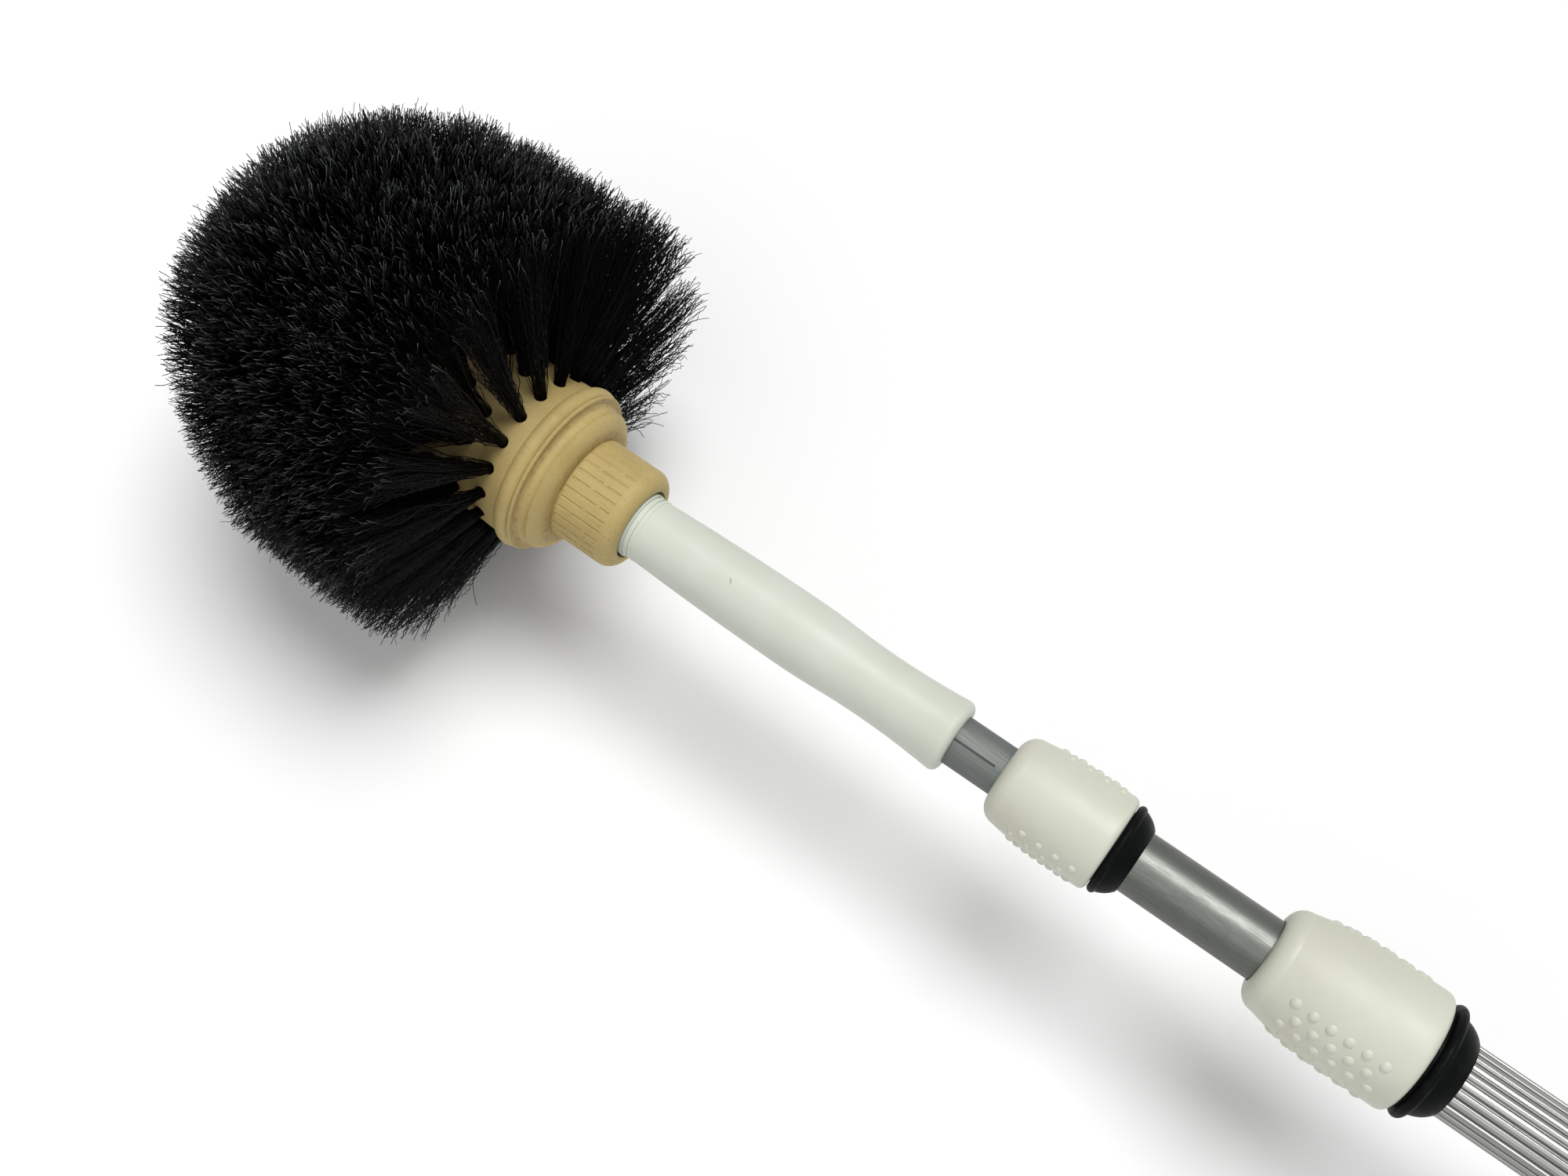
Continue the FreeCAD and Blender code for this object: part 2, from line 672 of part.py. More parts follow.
def grip_dots(lock, start):
    """Low spherical caps in staggered rows, on two opposite panels of a collar."""
    height = SIZES["dot_height"]
    ball = (SIZES[f"{lock.lock}_dot_radius"] ** 2 + height**2) / (2 * height)
    foot = math.degrees(math.asin((ball - height - SIZES["dot_sink"]) / ball))
    counts = [int(SIZES[f"{lock.lock}_dots_in_row"]), int(SIZES[f"{lock.lock}_dots_between"])]
    shift = SIZES[f"{lock.lock}_dot_shift"]
    first = SIZES[f"{lock.lock}_dot_first"]
    last = SIZES[f"{lock.lock}_collar_length"] - SIZES[f"{lock.lock}_dot_last_gap"]
    pitch = (last - first) / (counts[0] - 1)
    dots = []
    for row in range(int(SIZES[f"{lock.lock}_dot_rows"])):
        odd = row % 2
        for place in range(counts[odd]):
            along = first + (place + odd * shift) * pitch
            lift = collar_radius_at(lock, along) + height - ball
            for panel in range(DOT_PANELS):
                in_panel = SIZES[f"{lock.lock}_dot_angle"] + row * SIZES["dot_row_angle"]
                turn = in_panel + panel * FULL_TURN / DOT_PANELS
                out = radial(turn)
                centre = X_AXIS * (start.number + along) + out * lift
                dots.append(Part.makeSphere(ball, centre, out, foot, CAP_TOP, FULL_TURN))
    feature = doc.addObject("Part::Feature", f"{lock.lock}_dots")
    feature.Shape = Part.makeCompound(dots)
    return feature


def make_collar(lock, start):
    """The ivory nut: rounded mouth, long swell, clamp seat and inner thread."""
    length = lock.of("collar_length")
    outline = [
        (0, lock.bore),
        (0, lock.mouth_face, (lock.mouth_round, 1)),
        (lock.mouth_round, lock.mouth_face + lock.mouth_round, (collar_swell(lock), 1)),
        (lock.of("collar_swell"), lock.collar_radius),
        (length - lock.end_round, lock.collar_radius, (lock.end_round, 1)),
        (length, lock.collar_radius - lock.end_round),
        (length, lock.nut_bore),
        (lock.nut_shoulder, lock.nut_bore),
        (lock.nut_shoulder, lock.seat),
        (lock.plain_at, lock.seat),
        (lock.of("mouth_depth"), lock.sleeve_front_radius + size("running_gap")),
        (lock.of("mouth_depth"), lock.bore),
    ]
    core = turned(f"{lock.lock}_collar_core", outline, start)
    thread_start = lock.thread_start + size("lock_pitch") / 2
    add_ridge(core, "lock", thread_start, lock.nut_bore, -1, size("lock_collar_turns"))
    collar = doc.addObject("Part::Fuse", f"{lock.lock}_collar")
    collar.Label = f"{lock.lock}_collar"
    collar.Base = core
    collar.Tool = grip_dots(lock, start)
    return collar


def make_twist_lock(lock, start):
    """The three pieces of one twist lock."""
    return [make_collar(lock, start), make_sleeve(lock, start), make_lock_body(lock, start)]


def tip_rings():
    """Corners of the fine rings round the cone's tip, each after a groove."""
    groove = CONE_TIP - size("tip_groove_depth")
    ring = CONE_TIP + size("tip_ring_rise")
    corners = []
    for index in range(TIP_RINGS):
        groove_at = TIP_GROOVE_AT + TIP_RING_PITCH * index
        ring_at = groove_at + size("tip_groove_width")
        corners += [(groove_at, groove), (ring_at, groove)]
        corners += [(ring_at, ring), (ring_at + size("tip_ring_width"), ring)]
    return corners


def make_cone_adapter():
    """The white neck piece, with its threaded stub and the socket for the inner tube."""
    stub = size("stub_length")
    half_waist = size("cone_waist_run") / 2
    tip_arc = tangent_arc(size("cone_tip_run"), size("cone_tip_drop"))
    waist_arc = tangent_arc(half_waist, size("cone_bulge_rise") / 2)
    flare_arc = tangent_arc(size("cone_flare_run"), size("cone_flare_rise"))
    socket_at = CONE_LENGTH - size("cone_socket_depth")
    outline = [
        (0, CORE_RADIUS),
        (0, STUB_RADIUS),
        (stub, STUB_RADIUS),
        (stub, FLANGE_RADIUS),
        (TIP_GROOVE_AT, FLANGE_RADIUS),
        *tip_rings(),
        (CONE_TIP_AT, CONE_TIP, (tip_arc, 1)),
        (CONE_BULGE_AT, CONE_BULGE, (waist_arc, 1)),
        (CONE_BULGE_AT + half_waist, (CONE_BULGE + CONE_WAIST) / 2, (waist_arc, -1)),
        (CONE_WAIST_AT, CONE_WAIST, (flare_arc, -1)),
        (CONE_FLARE_AT, CONE_MOUTH, (CONE_END_ROUND, 1)),
        (CONE_LENGTH, CONE_MOUTH - CONE_END_ROUND),
        (CONE_LENGTH, CONE_BORE),
        (socket_at, CONE_BORE),
        (socket_at, CORE_RADIUS),
    ]
    adapter = turned("cone_adapter", outline, CONE_START)
    start = size("head_thread_start")
    turns = (stub - start - size("head_stub_runout")) / size("head_pitch")
    add_ridge(adapter, "head", start, STUB_RADIUS, 1, turns)
    return adapter


def make_seat_washer():
    inner = STUB_CREST + size("washer_play")
    outer = COUNTERBORE_RADIUS - size("washer_edge_gap")
    return turned("seat_washer", tube_outline(inner, outer, size("washer_thickness")), WASHER_START)


def block_outline():
    """Outline of the block: dome, bead, lip, cove, rounded shoulder, neck and threaded socket."""
    dome = size("dome_length")
    bead_arc = tangent_arc(size("bead_width") / 2, size("bead_height"))
    lip_arc = tangent_arc(size("lip_width") / 2, size("lip_height"))
    end_round = size("neck_wall") - size("neck_mouth_face")
    return [
        (0, 0, (DOME_TIP_RADIUS, 1)),
        (DOME_TIP_RADIUS, DOME_TIP_RADIUS),
        (dome, size("dome_base_radius")),
        (dome, BEAD_FOOT, (bead_arc, 1)),
        (BEAD_END, BEAD_FOOT, (lip_arc, 1)),
        (LIP_END, BEAD_FOOT),
        (LIP_END, COVE_RADIUS, (size("cove_round"), -1)),
        (SHOULDER_AT, SHOULDER_RADIUS, (size("shoulder_round"), 1)),
        (NECK_AT, NECK_RADIUS),
        (BLOCK_LENGTH - end_round, NECK_RADIUS, (end_round, 1)),
        (BLOCK_LENGTH, NECK_RADIUS - end_round),
        (BLOCK_LENGTH, COUNTERBORE_RADIUS),
        (COUNTERBORE_AT, COUNTERBORE_RADIUS),
        (COUNTERBORE_AT, SOCKET_RADIUS),
        (SOCKET_AT, SOCKET_RADIUS),
        (SOCKET_AT, 0),
    ]


def radial(angle):
    """Direction square to the pole at an angle from +Z, turning towards -Y."""
    turn = math.radians(angle)
    return FreeCAD.Vector(0, -math.sin(turn), math.cos(turn))


def tuft_rows():
    """Place along the dome, distance from the axis and forward lean of each row, from bead to tip."""
    tip = DOME_TIP_RADIUS.number
    base = SIZES["dome_base_radius"]
    side_run = SIZES["dome_length"] - tip
    side = math.hypot(side_run, base - tip)
    whole = side + tip * math.pi / 2
    first = SIZES["tuft_first_row"]
    pitch = (whole - first) / (len(TUFTS_IN_ROW) - 1)
    rows = []
    for row in range(len(TUFTS_IN_ROW)):
        arc = first + row * pitch
        if arc < side:
            share = arc / side
            at = SIZES["dome_length"] - side_run * share
            rows.append((at, base - (base - tip) * share, SIZES["tuft_lean"]))
        else:
            turn = (arc - side) / tip
            lean = max(math.degrees(turn), SIZES["tuft_lean"])
            rows.append((tip - tip * math.sin(turn), tip * math.cos(turn), lean))
    return rows


def tuft_places(row, along, distance, lean):
    """Placements of a row's tufts: origin at the hole's mouth, Z out along the tuft."""
    count = TUFTS_IN_ROW[row]
    tilt = math.radians(lean)
    stagger = ((row + 1) % 2) / 2
    places = []
    for index in range(count):
        out = radial((index + stagger) * FULL_TURN / count)
        direction = out * math.cos(tilt) - X_AXIS * math.sin(tilt)
        mouth = X_AXIS * (BLOCK_START.number + along) + out * distance
        places.append(FreeCAD.Placement(mouth, FreeCAD.Rotation(Z_AXIS, direction)))
    return places


def tuft_shoulder():
    """Length of a tuft up to the edge of its rounded crown."""
    return SIZES["tuft_length"] - SIZES["tuft_crown"]


def tip_spread(place, others):
    """Radius of a tuft at its tip, which leaves the tip gap to the nearest neighbour."""
    reach = FreeCAD.Vector(0, 0, tuft_shoulder())
    tip = place.multVec(reach)
    nearest = min(tip.distanceToPoint(other.multVec(reach)) for other in others if other is not place)
    return (nearest - SIZES["tuft_tip_gap"]) / 2


def tuft_solid(spread):
    """One tuft: a stem in its hole, a flared bundle and a rounded crown."""
    root = SIZES["tuft_hole_radius"] - SIZES["tuft_gap"]
    bottom = SIZES["staple_thickness"] - SIZES["tuft_hole_depth"]
    crown = SIZES["tuft_crown"]
    corners = [
        FreeCAD.Vector(0, 0, bottom),
        FreeCAD.Vector(root, 0, bottom),
        FreeCAD.Vector(root, 0, SIZES["tuft_stem"]),
        FreeCAD.Vector(spread, 0, tuft_shoulder()),
    ]
    top = FreeCAD.Vector(0, 0, SIZES["tuft_length"])
    crown_radius = (spread**2 + crown**2) / (2 * crown)
    half_turn = math.asin(spread / crown_radius) / 2
    fall = crown_radius * (1 - math.cos(half_turn))
    middle = FreeCAD.Vector(crown_radius * math.sin(half_turn), 0, top.z - fall)
    edges = [Part.LineSegment(a, b).toShape() for a, b in zip(corners, corners[1:])]
    edges.append(Part.Arc(corners[-1], middle, top).toShape())
    edges.append(Part.LineSegment(top, corners[0]).toShape())
    return Part.Face(Part.Wire(edges)).revolve(FreeCAD.Vector(), Z_AXIS, FULL_TURN)


def placed(shape, places):
    """Copies of a shape at each placement, as one compound."""
    copies = []
    for place in places:
        copy = shape.copy()
        copy.Placement = place.multiply(shape.Placement)
        copies.append(copy)
    return Part.makeCompound(copies)


def add_feature(label, shape):
    """A piece whose shape is built directly from the sheet's sizes."""
    feature = doc.addObject("Part::Feature", label)
    feature.Label = label
    feature.Shape = shape
    return feature


def make_head():
    """The block with its blind tuft holes, the rows of tufts and the staples that hold them."""
    hole_depth = SIZES["tuft_hole_depth"]
    hole_radius = SIZES["tuft_hole_radius"]
    hole = Part.makeCylinder(hole_radius, hole_depth * 1.5, FreeCAD.Vector(0, 0, -hole_depth))
    staple_length = 2 * (hole_radius - SIZES["staple_gap"])
    staple = Part.makeBox(staple_length, SIZES["staple_width"], SIZES["staple_thickness"])
    staple.translate(FreeCAD.Vector(-staple_length / 2, -SIZES["staple_width"] / 2, -hole_depth))
    rows = [tuft_places(row, *spot) for row, spot in enumerate(tuft_rows())]
    all_places = [place for places in rows for place in places]
    pieces = []
    for row, places in enumerate(rows, 1):
        tuft = tuft_solid(min(tip_spread(place, all_places) for place in places))
        pieces.append(add_feature(f"tuft_row_{row:02d}", placed(tuft, places)))
    pieces.append(add_feature("tuft_staples", placed(staple, all_places)))
    block = doc.addObject("Part::Cut", "brush_block")
    block.Label = "brush_block"
    block.Base = make_block_core()
    holes = placed(hole, all_places)
    block.Tool = add_feature("block_cuts", Part.makeCompound(holes.Solids + grain_dashes()))
    return [block] + pieces


def grain_dashes():
    """Round-bottomed cutters of the moulded grain lines, each broken once along the neck."""
    round_radius = SIZES["grain_round"]
    distance = NECK_RADIUS.number + round_radius - SIZES["grain_depth"]
    start = BLOCK_START.number + NECK_AT.number + SIZES["grain_lead"]
    run = SIZES["neck_length"] - SIZES["grain_lead"] - SIZES["grain_tail"]
    count = int(SIZES["grain_count"])
    dashes = []
    for index in range(count):
        out = radial(index * FULL_TURN / count) * distance
        first = run * GRAIN_BREAKS[index % len(GRAIN_BREAKS)] - SIZES["grain_break"] / 2
        second = first + SIZES["grain_break"]
        for at, length in ((0, first), (second, run - second)):
            dashes.append(Part.makeCylinder(round_radius, length, out + X_AXIS * (start + at), X_AXIS))
    return dashes


def make_block_core():
    """The turned block with its inner thread, half a pitch behind the stub's."""
    core = turned("brush_block_core", block_outline(), BLOCK_START)
    first = size("head_thread_start") + size("head_pitch") / 2
    turns = (size("stub_length") - first - size("head_block_runout")) / size("head_pitch")
    add_ridge(core, "head", CONE_START + first - BLOCK_START, SOCKET_RADIUS, -1, turns)
    return core


def make_end_cap():
    """The cap on the butt of the pole: a sleeve over the tube and a flat eye with the hanging hole."""
    bore = OUTER_RADIUS + size("glue_gap")
    outer = bore + size("cap_wall")
    depth = size("cap_socket_depth")
    eye = outer - size("eye_step")
    barrel_end = depth + size("cap_floor")
    shoulder_end = barrel_end + size("cap_shoulder_run")
    eye_at = depth + EYE_OFFSET
    shoulder = tangent_arc(size("cap_shoulder_run"), size("eye_step"))
    outline = [
        (0, bore),
        (depth, bore),
        (depth, 0),
        (eye_at + eye, 0, (eye, -1)),
        (eye_at, eye),
        (shoulder_end, eye, (shoulder, -1)),
        (barrel_end, outer),
        (0, outer),
    ]
    cap = turned("end_cap", outline, CAP_SEAT - depth)
    half = size("eye_thickness") / 2
    for name, low in (("eye_top", half), ("eye_underside", -outer * 2 - half)):
        corner = (shoulder_end - size("cap_shoulder_run") / 2, -outer, low)
        cut_box(cap, name, corner, (eye * 4, outer * 2, outer * 2))
    before = cap.Shape.Volume
    hole = cap.newObject("PartDesign::SubtractiveCylinder", "hang_hole")
    bind(hole, "Radius", size("hang_hole_radius"))
    bind(hole, "Height", size("eye_thickness") * 2)
    bind(hole, "Placement.Base.x", eye_at)
    bind(hole, "Placement.Base.z", -size("eye_thickness"))
    doc.recompute()
    require_cut(cap, before)
    return cap


def make_pieces():
    """Every piece of the brush, in order from the head to the butt."""
    pieces = make_head()
    pieces += [make_seat_washer(), make_cone_adapter(), make_inner_tube()]
    pieces.append(make_guide("inner", INNER_RADIUS, INNER_TUBE_END))
    pieces += make_twist_lock(UPPER_LOCK, UPPER_LOCK_START)
    pieces.append(make_middle_tube())
    pieces.append(make_guide("middle", MIDDLE_RADIUS, MIDDLE_TUBE_END))
    pieces += make_twist_lock(LOWER_LOCK, LOWER_LOCK_START)
    pieces += [make_outer_tube(), make_end_cap()]
    return pieces


def check(pieces):
    """Stops the build where an object failed or a piece is not a sound solid."""
    for item in doc.Objects:
        if "Invalid" in item.State or "Error" in item.State:
            raise ValueError(f"{item.Label} failed")
    for piece in pieces:
        if piece.Shape.isNull() or not piece.Shape.isValid() or not piece.Shape.Solids:
            raise ValueError(f"{piece.Label} is not a sound solid")


def write(pieces):
    """Writes each piece to its own file."""
    os.makedirs("parts", exist_ok=True)
    for piece in pieces:
        piece.Shape.exportStep(f"parts/{piece.Label}.step")
        box = piece.Shape.BoundBox
        print(f"{piece.Label}: {len(piece.Shape.Solids)} solids, x {box.XMin:.1f} to {box.XMax:.1f} mm")


pieces = make_pieces()
doc.recompute()
check(pieces)
write(pieces)
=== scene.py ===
# Looks, light and camera of the cobweb brush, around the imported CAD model.
# Units are metres in the CAD frame: the pole lies along X, the head is at -X, Z is up.
import math

import bpy
import numpy as np
from mathutils import Matrix, Vector


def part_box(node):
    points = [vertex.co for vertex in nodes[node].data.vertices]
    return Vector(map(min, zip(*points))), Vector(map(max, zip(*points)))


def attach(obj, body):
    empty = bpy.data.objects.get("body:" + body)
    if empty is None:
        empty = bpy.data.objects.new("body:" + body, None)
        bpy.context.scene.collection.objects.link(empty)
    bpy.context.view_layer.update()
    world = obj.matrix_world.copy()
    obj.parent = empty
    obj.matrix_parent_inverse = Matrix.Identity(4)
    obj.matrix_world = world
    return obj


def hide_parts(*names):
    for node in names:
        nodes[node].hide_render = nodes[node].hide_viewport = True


MM = 0.001
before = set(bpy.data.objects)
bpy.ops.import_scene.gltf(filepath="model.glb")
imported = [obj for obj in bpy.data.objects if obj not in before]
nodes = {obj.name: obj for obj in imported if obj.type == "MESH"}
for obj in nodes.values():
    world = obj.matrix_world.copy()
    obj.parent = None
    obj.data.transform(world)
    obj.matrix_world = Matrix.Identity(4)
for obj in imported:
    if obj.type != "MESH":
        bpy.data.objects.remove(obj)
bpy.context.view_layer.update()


# Material helpers

def new_material(name, **sockets):
    """A material with a Principled shader whose uniform values are set on its own sockets."""
    material = bpy.data.materials.new(name)
    material.use_nodes = True
    shader = material.node_tree.nodes["Principled BSDF"]
    for socket, value in sockets.items():
        shader.inputs[socket.replace("_", " ")].default_value = value
    return material


def shader_of(material):
    """The material's Principled shader."""
    return material.node_tree.nodes["Principled BSDF"]


def add_node(material, kind, settings=None, **inputs):
    """A node with its settings and inputs; an input that is a socket is linked."""
    node = material.node_tree.nodes.new(kind)
    for name, value in (settings or {}).items():
        setattr(node, name, value)
    for name, value in inputs.items():
        socket = node.inputs[int(name[1:])] if name[0] == "i" and name[1:].isdigit() else node.inputs[name]
        if isinstance(value, bpy.types.NodeSocket):
            material.node_tree.links.new(value, socket)
        else:
            socket.default_value = value
    return node


def linear(red, green, blue):
    """A colour written as 0 to 255 display values, as linear RGBA."""
    channels = []
    for value in (red, green, blue):
        share = value / 255
        channels.append(share / 12.92 if share <= 0.04045 else ((share + 0.055) / 1.055) ** 2.4)
    return (*channels, 1.0)


def place(material, scale=(1, 1, 1)):
    """The piece's own coordinates in millimetres, stretched by a scale."""
    coordinates = add_node(material, "ShaderNodeTexCoord")
    mapping = add_node(material, "ShaderNodeMapping", Vector=coordinates.outputs["Object"])
    mapping.inputs["Scale"].default_value = [axis / MM for axis in scale]
    return mapping.outputs["Vector"]


def noise(material, vector, scale, detail=2.0, roughness=0.5):
    """Noise between 0 and 1, mostly near its middle."""
    node = add_node(material, "ShaderNodeTexNoise", Vector=vector, Scale=scale, Detail=detail,
                    Roughness=roughness)
    return node.outputs["Fac"]


def spread_values(material, factor, low, high, new_low, new_high):
    """A factor moved from one range to another, held at the new range's ends."""
    node = add_node(material, "ShaderNodeMapRange", i0=factor, i1=low, i2=high, i3=new_low, i4=new_high)
    return node.outputs["Result"]


def mix_colour(material, factor, first, second):
    """The first colour at a factor of 0, the second at 1."""
    node = add_node(material, "ShaderNodeMix", {"data_type": "RGBA"})
    for index, value in ((0, factor), (6, first), (7, second)):
        if isinstance(value, bpy.types.NodeSocket):
            material.node_tree.links.new(value, node.inputs[index])
        else:
            node.inputs[index].default_value = value
    return node.outputs[2]


def math_node(material, operation, first, second=0.0):
    """The result of one sum on one or two values."""
    node = add_node(material, "ShaderNodeMath", {"operation": operation}, i0=first, i1=second)
    return node.outputs["Value"]


def bump(material, height, strength, depth_mm, normal=None):
    """A normal tilted by a height, on top of another normal if one is given."""
    node = add_node(material, "ShaderNodeBump", Height=height, Strength=strength, Distance=depth_mm * MM)
    if normal is not None:
        material.node_tree.links.new(normal, node.inputs["Normal"])
    return node.outputs["Normal"]


def connect(material, value, socket):
    """Links a value to a socket of the material's shader."""
    material.node_tree.links.new(value, shader_of(material).inputs[socket])


def wear(node_name, material):
    """Gives a CAD node its material."""
    data = nodes[node_name].data
    data.materials.clear()
    data.materials.append(material)


# Materials

def vector_node(material, operation, vector, second=None):
    """A sum on a vector, with a second vector of fixed numbers where it needs one."""
    node = add_node(material, "ShaderNodeVectorMath", {"operation": operation}, i0=vector)
    if second is not None:
        node.inputs[1].default_value = second
    return node


def along(material):
    """Distance along the pole in millimetres."""
    coordinates = add_node(material, "ShaderNodeTexCoord")
    parts = add_node(material, "ShaderNodeSeparateXYZ", Vector=coordinates.outputs["Object"])
    return math_node(material, "DIVIDE", parts.outputs["X"], MM)


def band(material, value, centre, half_width):
    """1 at the centre of a band, falling to 0 at its edges."""
    away = math_node(material, "ABSOLUTE", math_node(material, "SUBTRACT", value, centre))
    return spread_values(material, away, 0.0, half_width, 1.0, 0.0)


def off_axis(material):
    """Distance from the pole's axis in millimetres."""
    coordinates = add_node(material, "ShaderNodeTexCoord")
    across = vector_node(material, "MULTIPLY", coordinates.outputs["Object"], (0, 1 / MM, 1 / MM))
    return vector_node(material, "LENGTH", across.outputs["Vector"]).outputs["Value"]


# Creases of the block darkened by patchy dust and painted shade: place from the dome's tip, half width and
# strength
BLOCK_CREASES = [(97.3, 0.5, 0.35), (99.2, 1.0, 0.5), (107.4, 0.9, 0.45)]
# Places on the block from the dome's tip and the neck's radius, in millimetres
DOME_END, NECK_RADIUS, NECK_AT, NECK_END = 91.6, 19.4, 107.4, 126.9
# Painted shade darkens the dome between its tufts, less so over its last stretch
PAINTED_SHADE_FADE, PAINTED_SHADE_MOST, PAINTED_SHADE_LEAST, PAINTED_SHADE_EDGE = 30, 0.85, 0.1, 0.3
# Depths below the neck's surface between which a grain line darkens, how much, and the fade at its ends
GRAIN_DEEP, GRAIN_SHALLOW, GRAIN_SHARE, GRAIN_FADE = 0.28, 0.04, 0.2, 0.5


def block_plastic():
    """Beige moulded plastic with the look of turned wood: pores and streaks, painted shade on the dome
    between the tufts, and patchy dust with painted shade in the creases.
    """
    material = new_material("moulded_beige", IOR=1.46)
    vector = place(material)
    streaks = place(material, (0.12, 1, 1))
    cloudy = spread_values(material, noise(material, vector, 0.06, 3.0), 0.3, 0.7, 0.0, 1.0)
    colour = mix_colour(material, cloudy, linear(179, 157, 99), linear(191, 170, 110))
    pores = spread_values(material, noise(material, streaks, 1.1, 4.0, 0.6), 0.52, 0.72, 0.0, 0.38)
    colour = mix_colour(material, pores, colour, linear(156, 130, 76))
    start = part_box("brush_block")[0].x / MM
    dome_end = start + DOME_END
    # painted shade on the dome between the tufts, deepest towards the dome's tip
    painted_dome_shade = spread_values(material, along(material), dome_end - PAINTED_SHADE_FADE, dome_end,
                           PAINTED_SHADE_MOST, PAINTED_SHADE_LEAST)
    on_dome = spread_values(material, along(material), dome_end, dome_end + PAINTED_SHADE_EDGE, 1.0, 0.0)
    painted_dome_shade = math_node(material, "MULTIPLY", painted_dome_shade, on_dome)
    colour = mix_colour(material, painted_dome_shade, colour, linear(108, 88, 50))
    # each crease gets a band of painted shade, broken into patches of dust
    for place_along, half_width, share in BLOCK_CREASES:
        painted_crease_shade = band(material, along(material), start + place_along, half_width)
        patches = spread_values(material, noise(material, vector, 0.45, 3.0), 0.4, 0.65, 0.15, share)
        dust = math_node(material, "MULTIPLY", painted_crease_shade, patches)
        colour = mix_colour(material, dust, colour, linear(118, 88, 44))
    specks = spread_values(material, noise(material, vector, 0.9, 1.0), 0.72, 0.78, 0.0, 0.7)
    colour = mix_colour(material, specks, colour, linear(124, 92, 46))
    deep, shallow = NECK_RADIUS - GRAIN_DEEP, NECK_RADIUS - GRAIN_SHALLOW
    grooves = spread_values(material, off_axis(material), deep, shallow, GRAIN_SHARE, 0.0)
    neck_at, neck_end = start + NECK_AT, start + NECK_END
    on_neck = spread_values(material, along(material), neck_at, neck_at + GRAIN_FADE, 0.0, 1.0)
    before_end = spread_values(material, along(material), neck_end - GRAIN_FADE, neck_end, 1.0, 0.0)
    on_neck = math_node(material, "MULTIPLY", on_neck, before_end)
    lines = math_node(material, "MULTIPLY", grooves, on_neck)
    colour = mix_colour(material, lines, colour, linear(134, 106, 58))
    connect(material, colour, "Base Color")
    rough = spread_values(material, noise(material, vector, 0.5, 3.0), 0.3, 0.7, 0.5, 0.68)
    connect(material, rough, "Roughness")
    grain = bump(material, noise(material, streaks, 1.4, 3.0, 0.6), 0.35, 0.25)
    connect(material, bump(material, noise(material, vector, 1.6, 2.0), 0.2, 0.15, grain), "Normal")
    return material


def scuff_mask(material, centre, lengthwise, crosswise, half_length, half_width):
    """A short hairline scuff at a place on a piece, in millimetres along two directions."""
    coordinates = add_node(material, "ShaderNodeTexCoord")
    apart = vector_node(material, "SUBTRACT", coordinates.outputs["Object"], centre)
    shares = []
    for direction, half in ((lengthwise, half_length), (crosswise, half_width)):
        reach = vector_node(material, "DOT_PRODUCT", apart.outputs["Vector"], direction)
        distance = math_node(material, "DIVIDE", reach.outputs["Value"], MM)
        if direction is crosswise:
            unevenness = noise(material, place(material), 0.8)
            wobble = spread_values(material, unevenness, 0.3, 0.7, -half * 2, half * 2)
            distance = math_node(material, "ADD", distance, wobble)
        shares.append(band(material, distance, 0.0, half))
    return math_node(material, "MULTIPLY", *shares)


def smooth_plastic(name, colour, tint, roughness, scuffs=()):
    """Satin moulded plastic with faint clouding, handling marks and a fine moulded skin."""
    material = new_material(name, IOR=1.48)
    vector = place(material)
    cloudy = spread_values(material, noise(material, vector, 0.035, 3.0), 0.35, 0.65, 0.0, 1.0)
    shade = mix_colour(material, cloudy, colour, tint)
    marks = spread_values(material, noise(material, vector, 0.32, 4.0, 0.65), 0.66, 0.74, 0.0, 0.18)
    shade = mix_colour(material, marks, shade, linear(166, 164, 148))
    for scuff in scuffs:
        shade = mix_colour(material, scuff_mask(material, *scuff), shade, linear(92, 88, 72))
    connect(material, shade, "Base Color")
    handled = noise(material, vector, 0.12, 4.0)
    rough = spread_values(material, handled, 0.3, 0.7, roughness - 0.06, roughness + 0.08)
    connect(material, rough, "Roughness")
    connect(material, bump(material, noise(material, vector, 2.6, 2.0), 0.08, 0.08), "Normal")
    return material


def black_plastic():
    """Black satin plastic with a little dust."""
    material = new_material("black_satin_plastic", IOR=1.5, Specular_IOR_Level=0.05)
    vector = place(material)
    dusty = spread_values(material, noise(material, vector, 0.25, 5.0, 0.65), 0.5, 0.75, 0.0, 1.0)
    connect(material, mix_colour(material, dusty, linear(7, 9, 9), linear(20, 22, 22)), "Base Color")
    rough = spread_values(material, noise(material, vector, 0.4, 4.0), 0.3, 0.7, 0.34, 0.5)
    connect(material, rough, "Roughness")
    connect(material, bump(material, noise(material, vector, 2.2, 2.0), 0.1, 0.08), "Normal")
    return material


